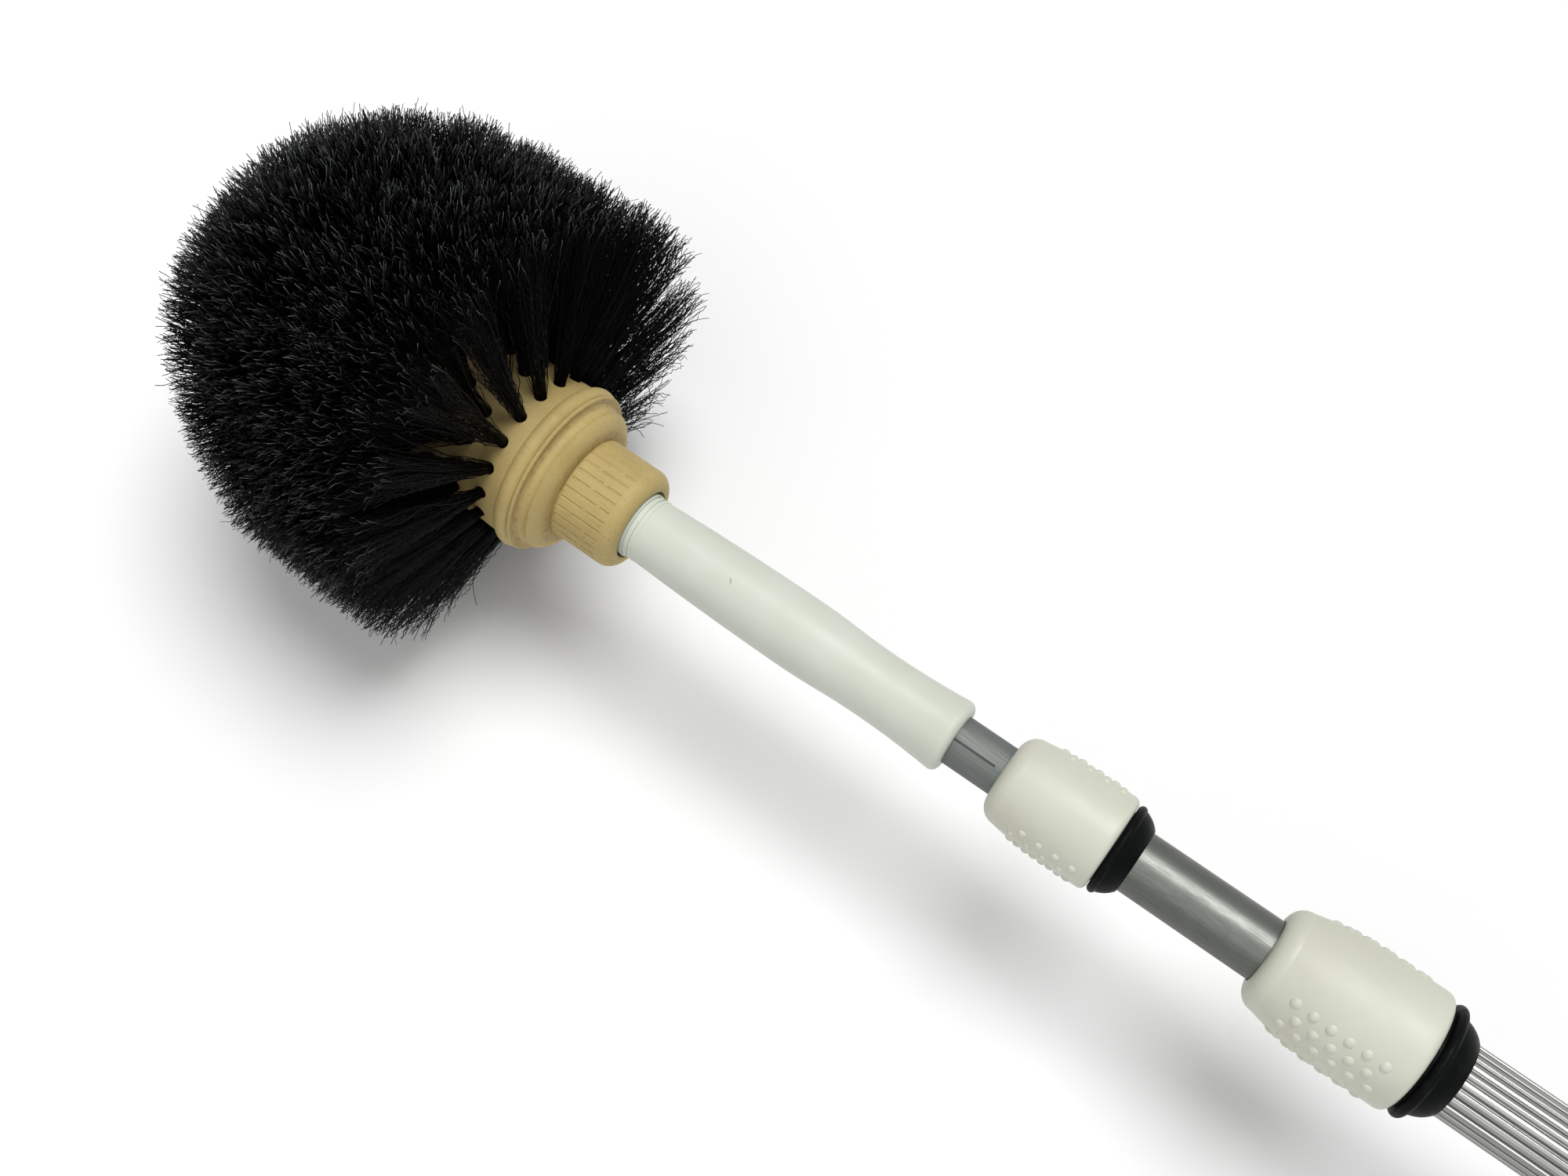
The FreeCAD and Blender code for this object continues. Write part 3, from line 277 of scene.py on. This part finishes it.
def aluminium(name, colour, dark, roughness, streak, grain, groove=None, ribs=None):
    """Drawn aluminium: long fine lines, soft mottling and fine grain, with painted shade in a groove or
    flutes below a given outside radius, and rounded ribs where a flute count is given.
    """
    material = new_material(name, Metallic=1.0)
    lines = noise(material, place(material, (streak, 1, 1)), 3.2, 3.0, 0.6)
    mottle = noise(material, place(material), 0.08, 3.0)
    shade = mix_colour(material, spread_values(material, lines, 0.3, 0.7, 0.0, 1.0), dark, colour)
    shade = mix_colour(material, spread_values(material, mottle, 0.4, 0.7, 0.0, 0.3), shade, dark)
    if groove:
        # painted shade in the groove or flutes, below the tube's outside surface
        painted_groove_shade = spread_values(material, off_axis(material), groove - 0.3, groove - 0.05, 0.6, 0.0)
        shade = mix_colour(material, painted_groove_shade, shade, linear(40, 40, 42))
    connect(material, shade, "Base Color")
    rough = spread_values(material, lines, 0.3, 0.7, roughness + 0.06, roughness - 0.05)
    connect(material, rough, "Roughness")
    skin = noise(material, place(material, (streak + grain, 1, 1)), 4.5, 2.0)
    rounding = rib_rounding(material, ribs) if ribs else None
    connect(material, bump(material, skin, 0.12, 0.05, rounding), "Normal")
    return material


def rib_rounding(material, count):
    """Softly rounded edges of the ribs between the flutes round a tube."""
    coordinates = add_node(material, "ShaderNodeTexCoord")
    parts = add_node(material, "ShaderNodeSeparateXYZ", Vector=coordinates.outputs["Object"])
    turn = math_node(material, "ARCTAN2", parts.outputs["Y"], parts.outputs["Z"])
    crest = math_node(material, "COSINE", math_node(material, "MULTIPLY", turn, count))
    return bump(material, math_node(material, "MULTIPLY", crest, -1.0), 1.0, 0.2)


def washer_rubber():
    """Dull black rubber."""
    material = new_material("washer_rubber", IOR=1.5)
    fine = noise(material, place(material), 1.2, 3.0)
    connect(material, mix_colour(material, fine, linear(20, 20, 20), linear(44, 44, 44)), "Base Color")
    connect(material, spread_values(material, fine, 0.3, 0.7, 0.7, 0.9), "Roughness")
    return material


def bristle_fibre():
    """Black fibre that differs a little from strand to strand and is greyer at its cut tip: partly the cut
    end's own colour, partly a painted glint.
    """
    material = new_material("black_fibre", IOR=1.5, Roughness=0.4, Specular_IOR_Level=0.08)
    strand = add_node(material, "ShaderNodeAttribute", {"attribute_name": "strand"}).outputs["Fac"]
    reach = add_node(material, "ShaderNodeAttribute", {"attribute_name": "reach"}).outputs["Fac"]
    colour = mix_colour(material, strand, linear(2, 2, 2), linear(23, 25, 25))
    # greyer cut tips on the paler strands, partly a painted glint
    tip = math_node(material, "MULTIPLY", spread_values(material, reach, 0.86, 0.97, 0.0, 1.0), strand)
    connect(material, mix_colour(material, tip, colour, linear(96, 99, 100)), "Base Color")
    return material


# A hairline scuff on the cone: centre, directions along and across it, half length and half width in mm
CONE_SCUFFS = [((-0.8634, -0.0040, 0.0119), (0.526, -0.807, -0.270), (0.85, 0.5, 0.167), 1.8, 0.28)]
# Outside of the grooved and of the fluted tube in millimetres, and the flutes round it
INNER_RADIUS, OUTER_RADIUS, FLUTES = 9.0, 13.0, 24


def dress_cad():
    """Materials of the CAD nodes that show as they are."""
    ivory = smooth_plastic("ivory_plastic", linear(211, 213, 198), linear(206, 207, 190), 0.46)
    white = smooth_plastic("white_plastic", linear(212, 217, 205), linear(206, 211, 197), 0.42, CONE_SCUFFS)
    black = black_plastic()
    wear("brush_block", block_plastic())
    wear("cone_adapter", white)
    for lock in ("upper", "lower"):
        wear(f"{lock}_collar", ivory)
        wear(f"{lock}_sleeve", white)
        wear(f"{lock}_lock_body", black)
    for part in ("inner_guide", "middle_guide", "end_cap"):
        wear(part, black)
    wear("seat_washer", washer_rubber())
    grey, silver, bright = linear(116, 120, 117), linear(103, 105, 101), linear(156, 156, 152)
    inner = aluminium("grey_aluminium", grey, linear(104, 107, 105), 0.64, 0.02, 0.3, INNER_RADIUS)
    middle = aluminium("satin_aluminium", silver, linear(88, 90, 86), 0.38, 0.05, 0.9)
    outer = aluminium("bright_aluminium", bright, linear(128, 128, 125), 0.22, 0.01, 0.2,
                      OUTER_RADIUS, FLUTES)
    for part, material in (("inner_tube", inner), ("middle_tube", middle), ("outer_tube", outer)):
        wear(part, material)
    wear("tuft_staples", aluminium("staple_steel", silver, grey, 0.4, 0.3, 0.3))


# Bristles

TUFTS_IN_ROW = [18, 18, 18, 18, 18, 18, 15, 11, 6, 1]
STRANDS_IN_ROW = [80, 90, 130, 160, 160, 180, 270, 400, 540, 600]
JOINTS_IN_ROW = [24, 20, 14, 12, 12, 12, 12, 12, 12, 12]
MOST_FACES = 190000
DOME_LENGTH, DOME_BASE, DOME_TIP = DOME_END * MM, 30.4 * MM, 29 * MM
FIRST_ROW, LEAN = 7 * MM, math.radians(12)
TUFT_LENGTH, ROOT_DEPTH, ROOT_RADIUS = 59 * MM, 2.5 * MM, 1.7 * MM
TIP_GAP, CROWN = 2 * MM, 3 * MM
STRAND_RADIUS = 0.19 * MM
STRAND_SIDES = 3
STRAND_TAPER = 0.8
BACK_ROW_SPREAD = 0.5
# Unevenness of the tufts and their strands: aim, width of the fan, tips and lengths
AIM_SPREAD, FAN_WIDTH, FAN_SPREAD = 0.035, 1.5, 0.2
TIP_SCATTER, LENGTH_SPREAD, TUFT_LENGTH_SPREAD = 1.2 * MM, 1.5 * MM, 0.8 * MM
JOINT_SPACING, FAN_CURVE = 0.65, 1.12
# Sideways size of the strands' zigzag, wave, stray bend and curl, and where the curl starts
ZIGZAG, WAVE, STRAY, CURL = 0.22 * MM, 0.45 * MM, 1.2 * MM, 1.9 * MM
CURL_FROM, CURL_RUN = 0.84, 0.16
# Most strands are near black, and only a few are paler
TONE_CURVE = 5
BRISTLE_SEED = 11

# Use has set the bristles: the sides splay, the front lies over, and one side is pressed flat
VIEW_ELEVATION = math.radians(65)
ACROSS = np.array([0, -math.sin(VIEW_ELEVATION), -math.cos(VIEW_ELEVATION)])
SPLAY, SWEEP, LIFT = math.radians(4), math.radians(5), 4 * MM
TUCKED_AT, TUCKED_WIDTH, TUCKED = math.radians(170), math.radians(30), math.radians(20)
FLARED_AT, FLARED = math.radians(275), math.radians(8)
SET_ROWS = 6
PRESSED_WAY = np.array([-0.73, 0, 0]) + 0.68 * ACROSS
PRESSED_FROM, PRESSED_AT, PRESSED = 52 * MM, 85 * MM, 0.6


def tuft_rows():
    """Place along the dome, distance from the axis and forward lean of each row, as in the CAD model."""
    side_run = DOME_LENGTH - DOME_TIP
    side = math.hypot(side_run, DOME_BASE - DOME_TIP)
    pitch = (side + DOME_TIP * math.pi / 2 - FIRST_ROW) / (len(TUFTS_IN_ROW) - 1)
    rows = []
    for row in range(len(TUFTS_IN_ROW)):
        arc = FIRST_ROW + row * pitch
        if arc < side:
            share = arc / side
            rows.append((DOME_LENGTH - side_run * share, DOME_BASE - (DOME_BASE - DOME_TIP) * share, LEAN))
        else:
            turn = (arc - side) / DOME_TIP
            rows.append((DOME_TIP * (1 - math.sin(turn)), DOME_TIP * math.cos(turn), max(turn, LEAN)))
    return rows


def tuft_places():
    """Mouth and direction of every tuft, row by row."""
    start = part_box("brush_block")[0].x
    axis = np.array([1.0, 0, 0])
    rows = []
    for row, (at, distance, lean) in enumerate(tuft_rows()):
        count = TUFTS_IN_ROW[row]
        turns = (np.arange(count) + ((row + 1) % 2) / 2) * 2 * math.pi / count
        out = np.stack([np.zeros(count), -np.sin(turns), np.cos(turns)], axis=1)
        leans = lean + set_by_use(turns) * max(1 - row / SET_ROWS, 0)
        ways = out * np.cos(leans)[:, None] - axis * np.sin(leans)[:, None]
        rows.append((axis * (start + at) + out * distance, ways if lean == LEAN else swept(ways)))
    return rows


def set_by_use(turns):
    """Change of a side tuft's lean: less at both edges and where they flare, more where they are tucked."""
    splay = SPLAY * np.sin(turns - math.pi / 2 + VIEW_ELEVATION) ** 2
    flare = FLARED * np.maximum(np.cos(turns - FLARED_AT), 0) ** 2
    return TUCKED * np.exp(-(((turns - TUCKED_AT) / TUCKED_WIDTH) ** 2)) - splay - flare


def swept(ways):
    """Directions turned a little about the line of sight: the used front lies over to one side."""
    axis = np.array([1.0, 0, 0])
    along_pole, across = ways @ axis, ways @ ACROSS
    rest = ways - np.outer(along_pole, axis) - np.outer(across, ACROSS)
    cosine, sine = math.cos(SWEEP), math.sin(SWEEP)
    return (rest + np.outer(along_pole * cosine - across * sine, axis)
            + np.outer(across * cosine + along_pole * sine, ACROSS))


def pressed(lines, share):
    """Strands lifted a little towards their tips, and pushed back where they pass the flat side."""
    centre = np.array([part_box("brush_block")[0].x + PRESSED_FROM, 0, 0])
    lines = lines - (share**1.5)[None, :, None] * LIFT * ACROSS
    beyond = np.maximum((lines - centre) @ PRESSED_WAY - PRESSED_AT, 0)
    return lines - PRESSED * beyond[..., None] * PRESSED_WAY


def tip_spread(row, rows):
    """Half the way from a tuft's tip to the nearest other tip, less half the gap between them."""
    tips = np.concatenate([mouths + ways * (TUFT_LENGTH - CROWN) for mouths, ways in rows])
    first = sum(TUFTS_IN_ROW[:row])
    away = np.linalg.norm(tips - tips[first], axis=1)
    away[first] = np.inf
    return (away.min() - TIP_GAP) / 2


def side_axes(way):
    """Two directions square to a tuft."""
    helper = np.array([1.0, 0, 0]) if abs(way[0]) < 0.9 else np.array([0, 0, 1.0])
    first = np.cross(way, helper)
    first /= np.linalg.norm(first)
    return first, np.cross(way, first)


def tuft_lines(mouth, way, spread, count, joints, back, rng):
    """Centre lines of one tuft's strands, as an array of strand, joint and coordinate."""
    first, second = side_axes(way)
    way = way + first * rng.normal(0, AIM_SPREAD) + second * rng.normal(0, AIM_SPREAD)
    way /= np.linalg.norm(way)
    rho = np.sqrt(rng.random(count))
    turn = rng.random(count) * 2 * math.pi
    outward = np.cos(turn)[:, None] * first + np.sin(turn)[:, None] * second
    tip = outward * (spread * FAN_WIDTH * rho * rng.normal(1.0, FAN_SPREAD, count))[:, None]
    tip += sideways(rng.normal(0, TIP_SCATTER, (count, 2)), first, second)
    tip[:, 0] = np.where(tip[:, 0] > 0, tip[:, 0] * back, tip[:, 0])
    length = TUFT_LENGTH - CROWN * rho**2 + rng.normal(0, LENGTH_SPREAD, count)
    length = length + rng.normal(0, TUFT_LENGTH_SPREAD)
    share = np.linspace(0, 1, joints + 1) ** JOINT_SPACING
    reach = -ROOT_DEPTH + (length[:, None] + ROOT_DEPTH) * share
    root = outward * (ROOT_RADIUS * rho)[:, None]
    fan = (share**FAN_CURVE)[None, :, None]
    lines = mouth + reach[..., None] * way + root[:, None, :] * (1 - fan) + tip[:, None, :] * fan
    lines += crimp(share, count, first, second, rng)
    return pressed(lines, share), first, second


def sideways(amounts, first, second):
    """Offsets along two directions, from pairs of amounts."""
    return amounts[..., :1] * first + amounts[..., 1:] * second


def crimp(share, count, first, second, rng):
    """Sideways offsets of the strands: a fine zigzag, a slow wave, a stray bend and a curl at the tip."""
    zigzag = np.where(np.arange(len(share)) % 2, 1.0, -1.0) * rng.normal(1.0, 0.6, (count, len(share)))
    fade = np.minimum(share * 5, 1.0)
    wave = np.sin(share * rng.uniform(7, 14, (count, 1)) + rng.uniform(0, 2 * math.pi, (count, 1)))
    offsets = 0
    stray = share[None, :] ** 4
    curl = np.maximum((share[None, :] - CURL_FROM) / CURL_RUN, 0) ** 1.5
    shapes = ((ZIGZAG, zigzag * fade), (WAVE, wave * fade), (STRAY, stray), (CURL, curl))
    for size, shape in shapes:
        way = rng.normal(0, 1, (count, 1, 2))
        offsets = offsets + size * shape[..., None] * sideways(way, first, second)
    return offsets


def strand_mesh(name, lines, firsts, seconds, rng):
    """One mesh of thin closed strands along the given centre lines."""
    count, rings = lines.shape[:2]
    angles = np.arange(STRAND_SIDES) * 2 * math.pi / STRAND_SIDES
    girth = STRAND_RADIUS * np.linspace(1.0, STRAND_TAPER, rings)
    ring = np.cos(angles)[:, None] * firsts[:, None, :] + np.sin(angles)[:, None] * seconds[:, None, :]
    points = lines[:, :, None, :] + girth[None, :, None, None] * ring[:, None, :, :]
    corner = np.arange(count * rings * STRAND_SIDES).reshape(count, rings, STRAND_SIDES)
    ahead = np.roll(corner, -1, axis=2)
    quads = np.stack([corner[:, :-1], ahead[:, :-1], ahead[:, 1:], corner[:, 1:]], axis=-1).reshape(-1)
    caps = np.concatenate([corner[:, 0, ::-1].reshape(-1), corner[:, -1].reshape(-1)])
    mesh = bpy.data.meshes.new(name)
    mesh.vertices.add(points.size // 3)
    mesh.vertices.foreach_set("co", points.reshape(-1).astype(np.float32))
    mesh.loops.add(len(quads) + len(caps))
    mesh.loops.foreach_set("vertex_index", np.concatenate([quads, caps]).astype(np.int32))
    sizes = np.concatenate([np.full(len(quads) // 4, 4), np.full(len(caps) // 3, 3)])
    mesh.polygons.add(len(sizes))
    mesh.polygons.foreach_set("loop_start", np.concatenate([[0], np.cumsum(sizes)[:-1]]).astype(np.int32))
    mesh.polygons.foreach_set("use_smooth", np.ones(len(sizes), bool))
    mesh.update(calc_edges=True)
    tone = np.repeat(rng.random(count) ** TONE_CURVE, rings * STRAND_SIDES)
    reach = np.tile(np.repeat(np.linspace(0, 1, rings), STRAND_SIDES), count)
    for label, values in (("strand", tone), ("reach", reach)):
        attribute = mesh.attributes.new(label, "FLOAT", "POINT")
        attribute.data.foreach_set("value", values.astype(np.float32))
    add_strand_map(mesh, count, rings, len(quads))
    return mesh


def add_strand_map(mesh, count, rings, quad_loops):
    """A texture map with one small cell for each strand."""
    columns = math.ceil(math.sqrt(count * 4))
    cells = np.stack([np.arange(count) % columns, np.arange(count) // columns], axis=1).astype(float)
    size = np.array([1 / columns, 1 / math.ceil(count / columns)])
    side = np.array([[0, 0], [1, 0], [1, 1], [0, 1]], float)
    step = np.array([1 / STRAND_SIDES, 1 / (rings - 1)])
    grid = np.meshgrid(np.arange(rings - 1), np.arange(STRAND_SIDES), indexing="ij")
    grid = np.stack(grid, axis=-1)[..., ::-1]
    local = (grid[:, :, None, :] + side) * step * 0.8 + 0.1
    quads = (cells[:, None, None, None, :] + local) * size
    cap = np.array([[0.1, 0.02], [0.9, 0.02], [0.5, 0.08]])
    low = (cells[:, None, :] + cap) * size
    high = (cells[:, None, :] + cap + [0, 0.9]) * size
    values = np.concatenate([quads.reshape(-1, 2), low.reshape(-1, 2), high.reshape(-1, 2)])
    mesh.uv_layers.new(name="OFBake").data.foreach_set("uv", values.reshape(-1).astype(np.float32))


def make_bristles(material):
    """Crimped strands in place of the CAD model's solid tufts."""
    rng = np.random.default_rng(BRISTLE_SEED)
    rows = tuft_places()
    for row, (mouths, ways) in enumerate(rows):
        joints = JOINTS_IN_ROW[row]
        count = STRANDS_IN_ROW[row]
        spread = tip_spread(row, rows)
        back = BACK_ROW_SPREAD if row == 0 else 1.0
        tufts = [tuft_lines(mouth, way, spread, count, joints, back, rng)
                 for mouth, way in zip(mouths, ways)]
        faces_in_tuft = count * (joints * STRAND_SIDES * 2 + 2)
        batch = max(1, MOST_FACES // faces_in_tuft)
        for number, start in enumerate(range(0, len(tufts), batch), 1):
            some = tufts[start:start + batch]
            lines = np.concatenate([lines for lines, *_ in some])
            firsts = np.repeat([first for _, first, _ in some], count, axis=0)
            seconds = np.repeat([second for *_, second in some], count, axis=0)
            name = f"bristles_{row + 1:02d}_{number}"
            piece = bpy.data.objects.new(name, strand_mesh(name, lines, firsts, seconds, rng))
            bpy.context.scene.collection.objects.link(piece)
            piece.data.materials.append(material)
            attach(piece, "brush_head")
            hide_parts(f"tuft_row_{row + 1:02d}")


# Stage, light and camera

FLOOR_Z, FLOOR_MIDDLE, FLOOR_HALF = -0.0905, -0.6, 5.0
FLOOR_SHADE, FLOOR_LIFT = 0.9, 0.08
WORLD_LIGHT = 0.18
VIEW_TILT = math.radians(12.8)
VIEW_ROLL = math.radians(34.05)
VIEW_DISTANCE = 0.575
VIEW_FOOT = -0.719
VIEW_RISE = 0.0097
SENSOR_MM, LENS_MM = 36.0, 39.6

# Lamps: name, strength, apparent size in degrees and direction to the lamp
LAMPS = [("overhead_softbox", 2.3, 34, (0.07, 0.16, 1.0)), ("front_fill", 0.65, 54, (0.0, -0.65, 0.76))]


def see_background(material):
    """1 for camera, glossy and transmission rays."""
    path = add_node(material, "ShaderNodeLightPath")
    seen = math_node(material, "MAXIMUM", path.outputs["Is Camera Ray"], path.outputs["Is Glossy Ray"])
    return math_node(material, "MAXIMUM", seen, path.outputs["Is Transmission Ray"])


def make_floor():
    """A white floor that keeps the object's shadow."""
    mesh = bpy.data.meshes.new("floor")
    half = FLOOR_HALF
    corners = [(-half, -half, 0), (half, -half, 0), (half, half, 0), (-half, half, 0)]
    mesh.from_pydata(corners, [], [(0, 1, 2, 3)])
    floor = bpy.data.objects.new("floor", mesh)
    floor.location = (FLOOR_MIDDLE, 0, FLOOR_Z)
    bpy.context.scene.collection.objects.link(floor)
    material = new_material("pale_floor", Roughness=1.0, Specular_IOR_Level=0.0)
    shader_of(material).inputs["Base Color"].default_value = (*[FLOOR_SHADE] * 3, 1)
    shader_of(material).inputs["Emission Color"].default_value = (1, 1, 1, 1)
    lift = math_node(material, "MULTIPLY", see_background(material), FLOOR_LIFT)
    connect(material, lift, "Emission Strength")
    mesh.materials.append(material)


def make_light():
    """An even pale world, a soft lamp from above and a broad one from the viewer's side."""
    world = bpy.data.worlds.new("pale_world")
    world.use_nodes = True
    bpy.context.scene.world = world
    background = world.node_tree.nodes["Background"]
    background.inputs["Color"].default_value = (1, 1, 1, 1)
    strength = spread_values(world, see_background(world), 0.0, 1.0, WORLD_LIGHT, 1.0)
    world.node_tree.links.new(strength, background.inputs["Strength"])
    for name, energy, angle, towards in LAMPS:
        lamp = bpy.data.lights.new(name, "SUN")
        lamp.energy = energy
        lamp.angle = math.radians(angle)
        lamp_object = bpy.data.objects.new(name, lamp)
        lamp_object.rotation_euler = Vector(towards).to_track_quat("Z", "Y").to_euler()
        bpy.context.scene.collection.objects.link(lamp_object)


def make_camera():
    """A camera at the photograph's viewing angle."""
    axis = Vector((1, 0, 0))
    facing = Vector((0, -math.cos(VIEW_ELEVATION), math.sin(VIEW_ELEVATION)))
    down = Vector((0, -math.sin(VIEW_ELEVATION), -math.cos(VIEW_ELEVATION)))
    level = axis * math.cos(VIEW_TILT) - facing * math.sin(VIEW_TILT)
    ahead = -axis * math.sin(VIEW_TILT) - facing * math.cos(VIEW_TILT)
    right = level * math.cos(VIEW_ROLL) - down * math.sin(VIEW_ROLL)
    up = -(level * math.sin(VIEW_ROLL) + down * math.cos(VIEW_ROLL))
    turn = Matrix((right, up, -ahead)).transposed()
    data = bpy.data.cameras.new("camera")
    data.sensor_width = SENSOR_MM
    data.lens = LENS_MM
    data.clip_start = 0.01
    camera = bpy.data.objects.new("camera", data)
    camera.location = axis * VIEW_FOOT + facing * VIEW_DISTANCE - down * VIEW_RISE
    camera.rotation_euler = turn.to_euler()
    bpy.context.scene.collection.objects.link(camera)
    bpy.context.scene.camera = camera


make_camera()
make_floor()
make_light()
dress_cad()
make_bristles(bristle_fibre())
bpy.context.scene.view_settings.view_transform = "Standard"
